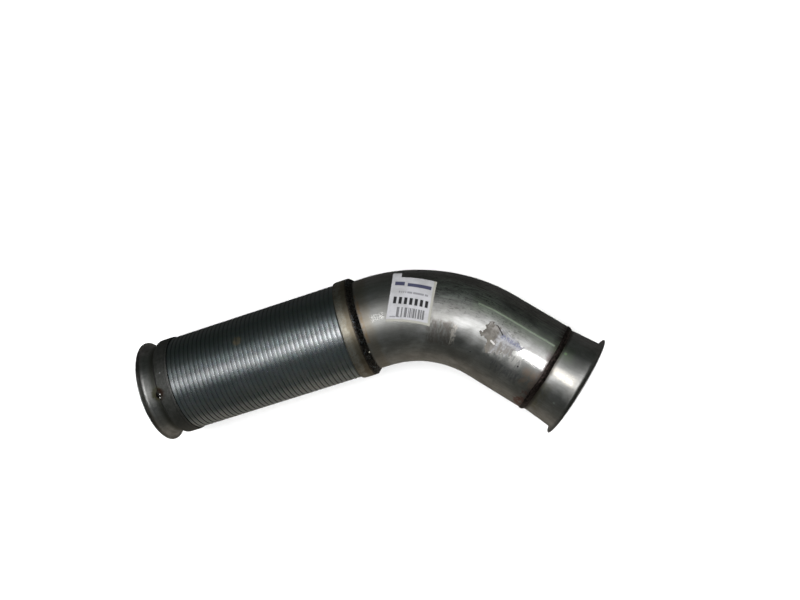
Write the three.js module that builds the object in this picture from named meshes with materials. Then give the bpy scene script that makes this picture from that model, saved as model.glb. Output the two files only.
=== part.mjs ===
// A flexible exhaust pipe for a truck: a flared inlet stub, a strip-wound interlocked metal hose and a
// bent outlet tube with a second flare. It lies flat, with the hose along +X, the bend in the horizontal
// plane towards -Y, and +Z up. Millimetres. The origin is under the middle of its bounding box.
import * as THREE from "three";

// Driving dimensions
const TUBE_RADIUS = 60;
const TUBE_WALL = 1.5;
const PIPE_SIDES = 24;
const FIT_GAP = 0.3;

const HOSE_LENGTH = 231.12;
const TURN_COUNT = 37;
const STRIP = 0.5;
const HOSE_OUTER_RADIUS = 63.1;
const HOSE_INNER_RADIUS = 60.3;
const HOOK_GAP = 0.35;
const HOSE_SIDES = 16;

const INLET_LIP_RADIUS = 68;
const INLET_STUB_LENGTH = 22;
const INLET_COLLAR_RADIUS = 64.6;
const INLET_COLLAR_LENGTH = 19;
const TACK_COUNT = 4;
const FIRST_TACK = THREE.MathUtils.degToRad(7);

const MID_COLLAR_RADIUS = 66;
const MID_COLLAR_LENGTH = 18.8;

const BEND_RADIUS = 184;
const BEND_ANGLE = THREE.MathUtils.degToRad(48.75);
const LEG_IN = 19.3;
const LEG_OUT = 77.5;

const OUTLET_LIP_RADIUS = 69;
const OUTLET_STUB_RADIUS = 58.2;
const OUTLET_STUB_LENGTH = 47;

// Stations along the hose axis, with 0 where the hose leaves the inlet collar
const INLET_LIP = -INLET_COLLAR_LENGTH - INLET_STUB_LENGTH;
const MID_COLLAR_END = HOSE_LENGTH + MID_COLLAR_LENGTH;
const BEND_LENGTH = BEND_RADIUS * BEND_ANGLE;

// The strip's section. TURN_PLAY is how far a turn can move before its strip meets the next turn's.
const TURN_PITCH = HOSE_LENGTH / (TURN_COUNT + 1);
const TURN_PLAY = (TURN_PITCH - 3 * STRIP) / 3;
const OUTER_BAND = TURN_PITCH - TURN_PLAY;
const INNER_BAND = TURN_PITCH - STRIP - TURN_PLAY;
const HOOK_HEIGHT = HOSE_OUTER_RADIUS - HOSE_INNER_RADIUS - STRIP - HOOK_GAP;

const steel = (color, roughness) => new THREE.MeshStandardMaterial({ color, roughness, metalness: 1 });
const paper = (color) => new THREE.MeshStandardMaterial({ color, roughness: 0.6, metalness: 0 });
const tubeSteel = steel(0x9c9a95, 0.36);
const collarSteel = steel(0x8f8a80, 0.44);
const hoseSteel = steel(0x8d999d, 0.34);
const weldSteel = steel(0x4a4642, 0.6);
const labelPaper = paper(0xe8e8ec);
const tornPaper = paper(0xb9b7b4);

function named(name, geometry, material) {
  const mesh = new THREE.Mesh(geometry, material);
  mesh.name = name;
  return mesh;
}

const point = (radius, station) => new THREE.Vector2(radius, station);

// A ring or tube about the local Y axis, from a closed outline of (radius, station) points.
function turned(outline, sides) {
  const points = THREE.ShapeUtils.isClockWise(outline) ? outline.toReversed() : outline;
  return new THREE.LatheGeometry([...points, points[0]], sides);
}

// Points on a quarter circle, from the back of a flare's lip down to its neck.
function fillet(neckRadius, size, start) {
  const steps = 3;
  return Array.from({ length: steps + 1 }, (_, step) => {
    const angle = ((Math.PI / 2) * step) / steps;
    return point(neckRadius + size * (1 - Math.sin(angle)), start + size * (1 - Math.cos(angle)));
  });
}

// The outline of a flared stub: its flat lip faces down at station 0, and the tube's outer surface
// follows the given points from the neck to the far end, one wall thickness outside its inner surface.
function flaredStub(lipRadius, filletSize, tubePoints) {
  const neckRadius = tubePoints[0].x;
  const inside = tubePoints.map(({ x, y }) => point(x - TUBE_WALL, y));
  const outerFillet = fillet(neckRadius, filletSize, TUBE_WALL);
  const innerFillet = fillet(neckRadius - TUBE_WALL, filletSize + TUBE_WALL, 0);
  return [
    point(lipRadius, 0),
    point(lipRadius, TUBE_WALL),
    ...outerFillet,
    ...tubePoints.slice(1),
    ...inside.slice(1).toReversed(),
    ...innerFillet.toReversed(),
  ];
}

// The inlet stub narrows under the collar to a spigot that slides into the end of the hose.
function inletFlare() {
  const spigotRadius = HOSE_INNER_RADIUS - 1.5;
  const stepAt = INLET_STUB_LENGTH + 3;
  return flaredStub(INLET_LIP_RADIUS, 5.5, [
    point(TUBE_RADIUS, 7),
    point(TUBE_RADIUS, stepAt),
    point(spigotRadius, stepAt + 2.5),
    point(spigotRadius, INLET_STUB_LENGTH + INLET_COLLAR_LENGTH - 3),
  ]);
}

// The outlet stub starts inside the end of the bent tube and widens a little towards its flare.
function outletFlare() {
  return flaredStub(OUTLET_LIP_RADIUS, 5, [
    point(TUBE_RADIUS + 1.5, 6.5),
    point(OUTLET_STUB_RADIUS + 0.8, OUTLET_STUB_LENGTH - 10),
    point(OUTLET_STUB_RADIUS, OUTLET_STUB_LENGTH - 7),
    point(OUTLET_STUB_RADIUS, OUTLET_STUB_LENGTH + 10),
  ]);
}

// The inlet collar: a thin sleeve whose free end is rolled in onto the neck of the stub.
function inletCollar() {
  const inner = INLET_COLLAR_RADIUS - 1.1;
  const lipInner = TUBE_RADIUS + 0.6;
  return [
    point(lipInner, 0),
    point(INLET_COLLAR_RADIUS - 1.2, 0),
    point(INLET_COLLAR_RADIUS, 1.8),
    point(INLET_COLLAR_RADIUS, INLET_COLLAR_LENGTH),
    point(inner, INLET_COLLAR_LENGTH),
    point(inner, 2),
    point(lipInner, 1.5),
  ];
}

// The middle collar: a slightly crowned band over the end of the hose and the end of the bent tube.
function midCollar() {
  const inner = MID_COLLAR_RADIUS - 1.5;
  return [
    point(MID_COLLAR_RADIUS - 0.8, 0),
    point(MID_COLLAR_RADIUS - 0.1, 1.5),
    point(MID_COLLAR_RADIUS, MID_COLLAR_LENGTH / 2),
    point(MID_COLLAR_RADIUS - 0.1, MID_COLLAR_LENGTH),
    point(inner, MID_COLLAR_LENGTH),
    point(inner, 0),
  ];
}

// The strip's two hooked bands, in section. Station 0 is the side of the riser that joins them.
const innerHook = [
  point(HOSE_INNER_RADIUS, -INNER_BAND),
  point(HOSE_INNER_RADIUS + HOOK_HEIGHT, -INNER_BAND),
  point(HOSE_INNER_RADIUS + HOOK_HEIGHT, STRIP - INNER_BAND),
  point(HOSE_INNER_RADIUS + STRIP, STRIP - INNER_BAND),
  point(HOSE_INNER_RADIUS + STRIP, 0),
];
const outerHook = [
  point(HOSE_OUTER_RADIUS, OUTER_BAND),
  point(HOSE_OUTER_RADIUS - HOOK_HEIGHT, OUTER_BAND),
  point(HOSE_OUTER_RADIUS - HOOK_HEIGHT, OUTER_BAND - STRIP),
  point(HOSE_OUTER_RADIUS - STRIP, OUTER_BAND - STRIP),
  point(HOSE_OUTER_RADIUS - STRIP, STRIP),
];

// One turn of the strip. Its inner hook is caught under the outer band of the turn before it.
function hoseTurn() {
  return [
    ...innerHook,
    point(HOSE_OUTER_RADIUS, 0),
    ...outerHook,
    point(HOSE_INNER_RADIUS, STRIP),
  ];
}

// The first turns, pressed solid under the inlet collar, ending in an outer hook.
function hoseEndInlet() {
  const pressedRadius = HOSE_OUTER_RADIUS - 1;
  const length = INLET_COLLAR_LENGTH - 6.5;
  return [
    point(HOSE_INNER_RADIUS, -length),
    point(pressedRadius, -length),
    point(pressedRadius, 0),
    point(HOSE_OUTER_RADIUS, 0),
    ...outerHook,
    point(HOSE_INNER_RADIUS, STRIP),
  ];
}

// The last turns, pressed solid between the middle collar and the bent tube, starting in an inner hook.
function hoseEndOutlet() {
  const pressedRadius = TUBE_RADIUS + 1.6;
  const length = MID_COLLAR_LENGTH - 2;
  return [
    ...innerHook,
    point(HOSE_OUTER_RADIUS, 0),
    point(HOSE_OUTER_RADIUS, length),
    point(pressedRadius, length),
    point(pressedRadius, STRIP),
    point(HOSE_INNER_RADIUS, STRIP),
  ];
}

// The fillet weld between the middle collar's end and the bent tube.
function collarWeld() {
  const root = TUBE_RADIUS + FIT_GAP;
  return [
    point(root, FIT_GAP),
    point(MID_COLLAR_RADIUS - 0.6, FIT_GAP),
    point(MID_COLLAR_RADIUS - 1.6, 2.2),
    point(TUBE_RADIUS + 2.2, 5.2),
    point(root, 7.2),
  ];
}

// The fillet weld over the end of the bent tube, down to the outlet stub. Station 0 is the tube's end.
function outletWeld() {
  const root = OUTLET_STUB_RADIUS + FIT_GAP;
  const overlap = TUBE_RADIUS + FIT_GAP;
  return [
    point(root, FIT_GAP),
    point(overlap, FIT_GAP),
    point(overlap, -2.6),
    point(overlap + 0.7, -1),
    point(overlap + 0.5, 2),
    point(overlap - 1, 4.6),
    point(root, 6.4),
  ];
}

// The bent tube's centreline: a run is measured along it from the end of the middle collar.
function centreline(run) {
  const angle = THREE.MathUtils.clamp((run - LEG_IN) / BEND_RADIUS, 0, BEND_ANGLE);
  const straight = Math.max(run - LEG_IN - BEND_LENGTH, 0);
  const forward = new THREE.Vector3(Math.cos(angle), -Math.sin(angle), 0);
  const place = new THREE.Vector3(
    MID_COLLAR_END + Math.min(run, LEG_IN) + BEND_RADIUS * Math.sin(angle),
    BEND_RADIUS * (Math.cos(angle) - 1),
    0,
  ).addScaledVector(forward, straight);
  return { place, forward };
}

// The stretch of centreline between two runs, as a curve.
class Stretch extends THREE.Curve {
  constructor(from, to) {
    super();
    this.from = from;
    this.to = to;
  }

  getPoint(t, target = new THREE.Vector3()) {
    return target.copy(centreline(THREE.MathUtils.lerp(this.from, this.to, t)).place);
  }
}

// The bent tube starts inside the end of the hose, clear of the strip's riser.
function bentTube() {
  const start = 6 - MID_COLLAR_LENGTH;
  const section = new THREE.Shape().absarc(0, 0, TUBE_RADIUS, 0, 2 * Math.PI);
  section.holes.push(new THREE.Path().absarc(0, 0, TUBE_RADIUS - TUBE_WALL, 0, 2 * Math.PI, true));
  return new THREE.ExtrudeGeometry(section, {
    extrudePath: new Stretch(start, LEG_IN + BEND_LENGTH + LEG_OUT),
    steps: 17,
    curveSegments: PIPE_SIDES / 2,
  });
}

// Bends a thin sheet round the bent tube. Its corners are (run, angle) pairs, with the angle in degrees
// round the tube from its top towards the outside of the bend.
function onTube(corners, thickness) {
  const sheet = new THREE.BoxGeometry(1, 1, 1, 7, 7, 1);
  const position = sheet.getAttribute("position");
  const [lowLeft, lowRight, highLeft, highRight] = corners.map(([run, angle]) => point(run, angle));
  for (let i = 0; i < position.count; i++) {
    const across = position.getX(i) + 0.5;
    const up = position.getY(i) + 0.5;
    const low = lowLeft.clone().lerp(lowRight, across);
    const spot = low.lerp(highLeft.clone().lerp(highRight, across), up);
    const { place, forward } = centreline(spot.x);
    const outward = new THREE.Vector3(-forward.y, forward.x, 0);
    const turn = THREE.MathUtils.degToRad(spot.y);
    const height = TUBE_RADIUS + 1.5 * FIT_GAP + (position.getZ(i) + 0.5) * thickness;
    place.addScaledVector(outward, height * Math.sin(turn));
    place.z += height * Math.cos(turn);
    position.setXYZ(i, place.x, place.y, place.z);
  }
  return sheet;
}

// A group whose local Y axis runs along a direction in the XY plane, for parts made with turned().
function along(place, forward) {
  const group = new THREE.Group();
  group.position.copy(place);
  group.rotation.z = Math.atan2(forward.y, forward.x) - Math.PI / 2;
  return group;
}

function addTurned(group, name, outline, sides, material, station) {
  const mesh = named(name, turned(outline, sides), material);
  mesh.position.y = station;
  group.add(mesh);
}

const part = new THREE.Group();
const hose = along(new THREE.Vector3(), new THREE.Vector3(1, 0, 0));
part.add(hose);

addTurned(hose, "inlet_flare", inletFlare(), PIPE_SIDES, tubeSteel, INLET_LIP);
addTurned(hose, "inlet_collar", inletCollar(), PIPE_SIDES, collarSteel, -INLET_COLLAR_LENGTH);
addTurned(hose, "hose_end_inlet", hoseEndInlet(), HOSE_SIDES, hoseSteel, FIT_GAP);
for (let turn = 1; turn <= TURN_COUNT; turn++) {
  const name = "hose_turn_" + String(turn).padStart(2, "0");
  addTurned(hose, name, hoseTurn(), HOSE_SIDES, hoseSteel, FIT_GAP + turn * TURN_PITCH);
}
addTurned(hose, "hose_end_outlet", hoseEndOutlet(), HOSE_SIDES, hoseSteel, FIT_GAP + HOSE_LENGTH);
addTurned(hose, "middle_collar", midCollar(), PIPE_SIDES, collarSteel, HOSE_LENGTH);
addTurned(hose, "middle_collar_weld", collarWeld(), PIPE_SIDES, weldSteel, MID_COLLAR_END);

// Tack welds sit in the corner between the inlet collar's rolled end and the stub.
for (let tack = 0; tack < TACK_COUNT; tack++) {
  const angle = FIRST_TACK + (2 * Math.PI * tack) / TACK_COUNT;
  const bead = new THREE.SphereGeometry(1, 8, 6).scale(3.3, 2.6, 2);
  const mesh = named("inlet_tack_weld_" + (tack + 1), bead, weldSteel);
  const distance = TUBE_RADIUS + FIT_GAP + 2;
  const station = -INLET_COLLAR_LENGTH - FIT_GAP - 2.6;
  mesh.position.set(distance * Math.sin(angle), station, distance * Math.cos(angle));
  mesh.rotation.y = angle;
  hose.add(mesh);
}

part.add(named("bent_tube", bentTube(), tubeSteel));

const tubeEnd = centreline(LEG_IN + BEND_LENGTH + LEG_OUT);
const outlet = along(tubeEnd.place, tubeEnd.forward);
part.add(outlet);
addTurned(outlet, "outlet_weld", outletWeld(), PIPE_SIDES, weldSteel, 0);
const outletStub = along(
  tubeEnd.place.clone().addScaledVector(tubeEnd.forward, OUTLET_STUB_LENGTH),
  tubeEnd.forward.clone().negate(),
);
part.add(outletStub);
addTurned(outletStub, "outlet_flare", outletFlare(), PIPE_SIDES, tubeSteel, 0);

const labelCorners = [[39, -1], [97, -13], [51.5, 66], [98.5, 45]];
const tornCorners = [[163, -12], [222, -21], [167, 11], [222, 6]];
part.add(named("paper_label", onTube(labelCorners, 0.5), labelPaper));
part.add(named("torn_label", onTube(tornCorners, 0.4), tornPaper));

// Stand the part on the ground with the origin under the middle of its box.
const box = new THREE.Box3().setFromObject(part, true);
const middle = box.getCenter(new THREE.Vector3());
part.position.set(-middle.x, -middle.y, -box.min.z);

export default part;
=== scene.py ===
"""Looks for a flexible exhaust pipe: a strip-wound hose in welded collars, a bent tube and two flares.

Every piece is a surface round the pipe's own centreline, so most shapes are outlines of (run, radius)
points. A run is measured along the centreline from the end of the middle collar, and an angle round the
pipe from its top towards the outside of the bend. Shapes are in metres and radians. Marks in the
materials and on the labels are placed by their runs in millimetres and their angles in degrees.
"""

import math

import bmesh
import bpy
import numpy as np
from mathutils import Matrix, Vector, noise

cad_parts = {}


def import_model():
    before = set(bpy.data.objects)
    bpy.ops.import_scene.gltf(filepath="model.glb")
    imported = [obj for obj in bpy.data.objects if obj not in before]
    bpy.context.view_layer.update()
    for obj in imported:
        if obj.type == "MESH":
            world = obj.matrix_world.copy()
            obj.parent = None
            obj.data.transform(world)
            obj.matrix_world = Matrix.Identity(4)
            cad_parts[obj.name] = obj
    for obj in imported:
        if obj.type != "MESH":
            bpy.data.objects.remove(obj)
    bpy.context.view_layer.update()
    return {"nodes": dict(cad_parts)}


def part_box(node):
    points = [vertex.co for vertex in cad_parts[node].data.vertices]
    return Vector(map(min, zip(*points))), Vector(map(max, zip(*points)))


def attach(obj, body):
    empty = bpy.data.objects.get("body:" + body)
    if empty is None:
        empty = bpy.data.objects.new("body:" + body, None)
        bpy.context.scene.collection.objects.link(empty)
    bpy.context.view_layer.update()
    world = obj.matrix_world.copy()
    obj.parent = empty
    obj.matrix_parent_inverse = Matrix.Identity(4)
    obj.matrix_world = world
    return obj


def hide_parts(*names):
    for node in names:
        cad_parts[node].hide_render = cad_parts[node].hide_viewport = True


MM = 0.001
DEGREE = math.pi / 180

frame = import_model()

# Sizes of the pipe, as in the CAD model
TUBE_RADIUS = 60 * MM
TUBE_WALL = 1.5 * MM
HOSE_OUTER = 63.1 * MM
HOSE_INNER = 60.3 * MM
STRIP = 0.5 * MM
GROOVE_FLOOR = 62.35 * MM
BAND_INNER = 62.6 * MM
INLET_COLLAR_RADIUS = 64.6 * MM
MID_COLLAR_RADIUS = 66 * MM
STUB_RADIUS = 58.2 * MM
LEG_IN = 19.3 * MM
BEND_RADIUS = 184 * MM
BEND_ANGLE = 48.75 * DEGREE
LEG_OUT = 77.5 * MM
OUTLET_STUB = 47 * MM
GAP = 0.3 * MM

# Places that come from the frame. The hose runs between its two collars
collar_low, collar_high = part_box("middle_collar")
inlet_collar_low, inlet_collar_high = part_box("inlet_collar")
TURNS = sum(name.startswith("hose_turn_") for name in frame["nodes"])
collar_middle = (collar_low + collar_high) / 2
ORIGIN = Vector((collar_high.x, collar_middle.y, collar_middle.z))
PITCH = (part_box(f"hose_turn_{TURNS:02d}")[1].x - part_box("hose_turn_01")[1].x) / (TURNS - 1)
HOSE_END = collar_low.x - ORIGIN.x
HOSE_START = inlet_collar_high.x - ORIGIN.x
COLLAR_START = inlet_collar_low.x - ORIGIN.x
INLET_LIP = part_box("inlet_flare")[0].x - ORIGIN.x
BEND_LENGTH = BEND_RADIUS * BEND_ANGLE
TUBE_END = LEG_IN + BEND_LENGTH + LEG_OUT
OUTLET_LIP = TUBE_END + OUTLET_STUB

# The strip's hooks: the groove between two turns, and the bands that lie outside and inside
GROOVE = (PITCH - 3 * STRIP) / 3
OUTER_BAND = PITCH - GROOVE
INNER_BAND = OUTER_BAND - STRIP
SLIT = 0.02 * DEGREE

# Columns of faces round the pipe
SIDES = 160
WELD_SIDES = 720

# One degree round the tube's outside
ARC = DEGREE * TUBE_RADIUS


# ---------------------------------------------------------------- shapes round the centreline

def on_pipe(run, radius, angle):
    """The point of the frame at a run, a distance from the centreline and an angle round it."""
    turn = min(max((run - LEG_IN) / BEND_RADIUS, 0), BEND_ANGLE)
    past = max(run - LEG_IN - BEND_LENGTH, 0)
    along = min(run, LEG_IN) + BEND_RADIUS * math.sin(turn) + past * math.cos(turn)
    aside = BEND_RADIUS * (math.cos(turn) - 1) - past * math.sin(turn)
    reach = radius * math.sin(angle)
    place = (along + reach * math.sin(turn), aside + reach * math.cos(turn), radius * math.cos(angle))
    return ORIGIN + Vector(place)


def placed(run, radius, offsets):
    """Outline points at (along, outward) offsets in millimetres from a run and a radius."""
    return [(run + along * MM, radius + outward * MM) for along, outward in offsets]


def rounded(corners, size, steps=4):
    """A closed outline with each of its corners replaced by a small curve."""
    points = [Vector(corner) for corner in corners]
    outline = []
    for before, corner, after in zip(points[-1:] + points[:-1], points, points[1:] + points[:1]):
        back, ahead = before - corner, after - corner
        reach = min(size, 0.45 * back.length, 0.45 * ahead.length)
        start = corner + back.normalized() * reach
        end = corner + ahead.normalized() * reach
        for step in range(steps + 1):
            t = step / steps
            outline.append(start.lerp(corner, t).lerp(corner.lerp(end, t), t))
    return outline


def split(start, end, longest):
    """Points from start up to but not including end, no further apart than longest."""
    count = max(1, math.ceil((end - start).length / longest))
    return [start.lerp(end, step / count) for step in range(count)]


def mesh_object(name, points, faces, straight):
    """A mesh object whose straight attribute holds its points as they would be on a straight pipe."""
    mesh = bpy.data.meshes.new(name)
    mesh.from_pydata(points, [], faces)
    mesh.update()
    attribute = mesh.attributes.new("straight", "FLOAT_VECTOR", "POINT")
    attribute.data.foreach_set("vector", np.array(straight, np.float32).ravel())
    mesh.polygons.foreach_set("use_smooth", [True] * len(mesh.polygons))
    made = bpy.data.objects.new(name, mesh)
    bpy.context.scene.collection.objects.link(made)
    return made


def straightened(run, radius, angle):
    return (run, radius * math.sin(angle), radius * math.cos(angle))


def ring(name, outline, shape=None, longest=None, helix=False, sides=SIDES):
    """A closed band round the pipe with the given (run, radius) outline.

    shape may move a point, given its run, radius and angle. A helix climbs one pitch in its one turn,
    which starts and ends underneath, with a slit as wide as a hair between it and its neighbours.
    """
    if longest:
        ends = outline[1:] + outline[:1]
        outline = [point for pair in zip(outline, ends) for point in split(*pair, longest)]
    count = len(outline)
    columns = sides + 1 if helix else sides
    slit = SLIT if helix else 0
    points, straight = [], []
    for column in range(columns):
        angle = -math.pi + slit + (2 * math.pi - 2 * slit) * column / sides
        climb = PITCH * angle / (2 * math.pi) if helix else 0
        for run, radius in outline:
            spot = (run + climb, radius, angle)
            if shape:
                spot = shape(*spot)
            points.append(on_pipe(*spot))
            straight.append(straightened(*spot))
    faces = []
    for column in range(sides):
        here, there = column * count, (column + 1) % columns * count
        for k in range(count):
            after = (k + 1) % count
            faces.append((here + k, there + k, there + after, here + after))
    if helix:
        faces.append(tuple(range(count)))
        faces.append(tuple(reversed(range(sides * count, (sides + 1) * count))))
    return mesh_object(name, points, faces, straight)


def finish_piece(piece, body, slot, material, *nodes):
    """Gives a piece its material and its body, and hides the CAD nodes it stands for. slot is not used.
    """
    bpy.context.view_layer.objects.active = piece
    normals_outside(piece)
    piece.data.materials.append(material)
    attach(piece, body)
    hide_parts(*nodes)
    return piece


def normals_outside(piece):
    shape = bmesh.new()
    shape.from_mesh(piece.data)
    bmesh.ops.recalc_face_normals(shape, faces=shape.faces)
    shape.to_mesh(piece.data)
    shape.free()


def wave(seed, angle, run, scale):
    """Smooth noise on the pipe's surface, from about -1 to 1."""
    place = Vector((math.sin(angle), math.cos(angle), run / TUBE_RADIUS))
    return noise.noise(place * scale + Vector((seed, seed, seed)))


# ---------------------------------------------------------------- shader helpers

class Nodes:
    """Helpers for a tree of shader nodes. An input takes a socket or a value."""

    def __init__(self, tree):
        self.tree = tree

    def node(self, kind, inputs=(), **settings):
        made = self.tree.nodes.new("ShaderNode" + kind)
        for key, value in settings.items():
            setattr(made, key, value)
        for key, value in dict(inputs).items():
            self.feed(made.inputs[key], value)
        return made

    def feed(self, socket, value):
        if isinstance(value, bpy.types.NodeSocket):
            self.tree.links.new(value, socket)
        elif isinstance(value, tuple) and socket.type == "RGBA":
            socket.default_value = (*value, 1)
        else:
            socket.default_value = value

    def math(self, operation, first, second=0.0, third=0.0):
        return self.node("Math", {0: first, 1: second, 2: third}, operation=operation).outputs[0]

    def length(self, first, second):
        squares = self.math("MULTIPLY", first, first), self.math("MULTIPLY", second, second)
        return self.math("SQRT", self.math("ADD", *squares))

    def step(self, value, low, high, bottom=0.0, top=1.0):
        """Goes smoothly from bottom to top while value goes from low to high."""
        inputs = {"Value": value, "From Min": low, "From Max": high, "To Min": bottom, "To Max": top}
        return self.node("MapRange", inputs, interpolation_type="SMOOTHSTEP").outputs["Result"]

    def within(self, value, low, high, edge):
        rise = self.step(value, low - edge, low + edge)
        fall = self.step(value, high - edge, high + edge, 1.0, 0.0)
        return self.math("MULTIPLY", rise, fall)

    def combine(self, operation, masks):
        result = masks[0]
        for mask in masks[1:]:
            result = self.math(operation, result, mask)
        return result

    def both(self, *masks):
        return self.combine("MULTIPLY", masks)

    def either(self, *masks):
        return self.combine("MAXIMUM", masks)

    def mix(self, factor, first, second, blend="MIX"):
        made = self.node("Mix", data_type="RGBA", blend_type=blend)
        for index, value in ((0, factor), (6, first), (7, second)):
            self.feed(made.inputs[index], value)
        return made.outputs[2]


class Shader(Nodes):
    """One material: a colour, a roughness and coats over them, all placed on the straightened pipe."""

    def __init__(self, name):
        self.material = bpy.data.materials.new(name)
        self.material.use_nodes = True
        super().__init__(self.material.node_tree)
        self.bsdf = self.tree.nodes["Principled BSDF"]
        self.straight = self.node("Attribute", attribute_name="straight").outputs["Vector"]
        parts = self.node("SeparateXYZ", {"Vector": self.straight}).outputs
        self.run, across, up = parts["X"], parts["Y"], parts["Z"]
        self.radius = self.length(across, up)
        self.degrees = self.math("MULTIPLY", self.math("ARCTAN2", across, up), 1 / DEGREE)
        self.wobble = self.noise(self.scaled(130, 110), 4.0, 0.65)
        self.tone, self.rough = (0.5, 0.5, 0.5), 0.5

    def coat(self, mask, colour, roughness):
        """Covers the mask's part of the surface with another colour and roughness."""
        self.tone = self.mix(mask, self.tone, colour)
        made = self.node("Mix", data_type="FLOAT")
        for index, value in ((0, mask), (2, self.rough), (3, roughness)):
            self.feed(made.inputs[index], value)
        self.rough = made.outputs[0]

    def tint(self, mask, share, colour, roughness):
        """A coat that lets some of the surface under it show."""
        self.coat(self.math("MULTIPLY", mask, share), colour, roughness)

    def scaled(self, along, around=None):
        """The straightened place, with lengths along the pipe and round it scaled."""
        around = along if around is None else around
        factors = (along, around, around)
        return self.node("VectorMath", {0: self.straight, 1: factors}, operation="MULTIPLY").outputs[0]

    def noise(self, vector, detail=3.0, roughness=0.55, distortion=0.0):
        inputs = {"Vector": vector, "Scale": 1.0, "Detail": detail, "Roughness": roughness,
                  "Distortion": distortion}
        return self.node("TexNoise", inputs).outputs["Fac"]

    def cells(self, vector, feature="F1"):
        return self.node("TexVoronoi", {"Vector": vector, "Scale": 1.0}, feature=feature).outputs

    def region(self, runs, angles, wander=0.0, soft=1.5):
        """Where the run in millimetres and the angle in degrees lie in both spans.

        Both wander along with a noise of 0 to 1, by up to the given number of millimetres or degrees.
        """
        shift = self.math("MULTIPLY_ADD", self.wobble, 2 * wander, -wander)
        run = self.math("MULTIPLY_ADD", shift, MM, self.run)
        degrees = self.math("ADD", shift, self.degrees)
        along = self.within(run, runs[0] * MM, runs[1] * MM, soft * MM)
        return self.both(along, self.within(degrees, *angles, soft))

    def spot(self, run, degrees, size):
        """A round dot of the given radius in millimetres, on the tube's surface."""
        along = self.math("SUBTRACT", self.run, run * MM)
        around = self.math("MULTIPLY", self.math("SUBTRACT", self.degrees, degrees), ARC)
        return self.step(self.length(along, around), 0.7 * size * MM, 1.3 * size * MM, 1.0, 0.0)

    def streak(self, start, end, size):
        """A stroke between two (run, degrees) places on the tube. size is half its width."""
        wide, tall = (end[0] - start[0]) * MM, (end[1] - start[1]) * ARC
        along = self.math("SUBTRACT", self.run, start[0] * MM)
        around = self.math("MULTIPLY", self.math("SUBTRACT", self.degrees, start[1]), ARC)
        square = wide * wide + tall * tall
        share = self.math("MULTIPLY", around, tall / square)
        share = self.math("MULTIPLY_ADD", along, wide / square, share)
        share = self.math("MINIMUM", self.math("MAXIMUM", share, 0.0), 1.0)
        along = self.math("MULTIPLY_ADD", share, -wide, along)
        around = self.math("MULTIPLY_ADD", share, -tall, around)
        return self.step(self.length(along, around), 0.6 * size * MM, 1.4 * size * MM, 1.0, 0.0)

    def bump(self, height, strength, distance):
        inputs = {"Height": height, "Strength": strength, "Distance": distance}
        return self.node("Bump", inputs).outputs["Normal"]

    def finish(self, metal, normal, **inputs):
        """Puts the colour, the roughness and the other inputs on the shader, and gives the material."""
        inputs.update(base_color=self.tone, roughness=self.rough, metallic=metal, normal=normal)
        for key, value in inputs.items():
            name = key.replace("_", " ").title().replace("Ior", "IOR")
            self.feed(self.bsdf.inputs[name], value)
        return self.material


ALL_ROUND = (-180, 180)
OUTLET = TUBE_END / MM
COLLAR_RIM = COLLAR_START / MM
MIDDLE_RIM = HOSE_END / MM


# ---------------------------------------------------------------- materials

def drawn_steel(shader, dark, light):
    """Mill marks, smudges and fine scratches of bare sheet steel. Gives its height for a bump."""
    clouds = shader.noise(shader.scaled(22, 30), 4.0, 0.6, 0.4)
    smudges = shader.noise(shader.scaled(75, 60), 4.0, 0.65, 0.8)
    streaks = shader.noise(shader.scaled(40, 210), 5.0, 0.7, 0.3)
    drawn = shader.noise(shader.scaled(45, 1500), 2.0, 0.6)
    cross = shader.noise(shader.scaled(1700, 60), 2.0, 0.5)
    tone = shader.mix(shader.step(clouds, 0.3, 0.72), dark, light)
    tone = shader.mix(shader.step(streaks, 0.40, 0.68, 0.0, 0.5), tone, dark)
    tone = shader.mix(shader.step(smudges, 0.45, 0.75, 0.0, 0.45), tone, dark)
    shader.tone = shader.mix(shader.step(drawn, 0.35, 0.7, 0.0, 0.18), tone, light)
    shader.rough = shader.math("MULTIPLY_ADD", drawn, 0.06, shader.step(smudges, 0.3, 0.8, 0.26, 0.40))
    scratches = shader.cells(shader.scaled(55, 700), "DISTANCE_TO_EDGE")["Distance"]
    scratch = shader.both(shader.step(scratches, 0.0, 0.035, 1.0, 0.0), shader.step(clouds, 0.5, 0.65))
    shader.tint(scratch, 0.35, light, 0.3)
    height = shader.math("MULTIPLY", drawn, 0.35)
    height = shader.math("MULTIPLY_ADD", cross, 0.25, height)
    height = shader.math("MULTIPLY_ADD", smudges, 0.4, height)
    return shader.math("MULTIPLY_ADD", scratch, -0.5, height)


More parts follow.
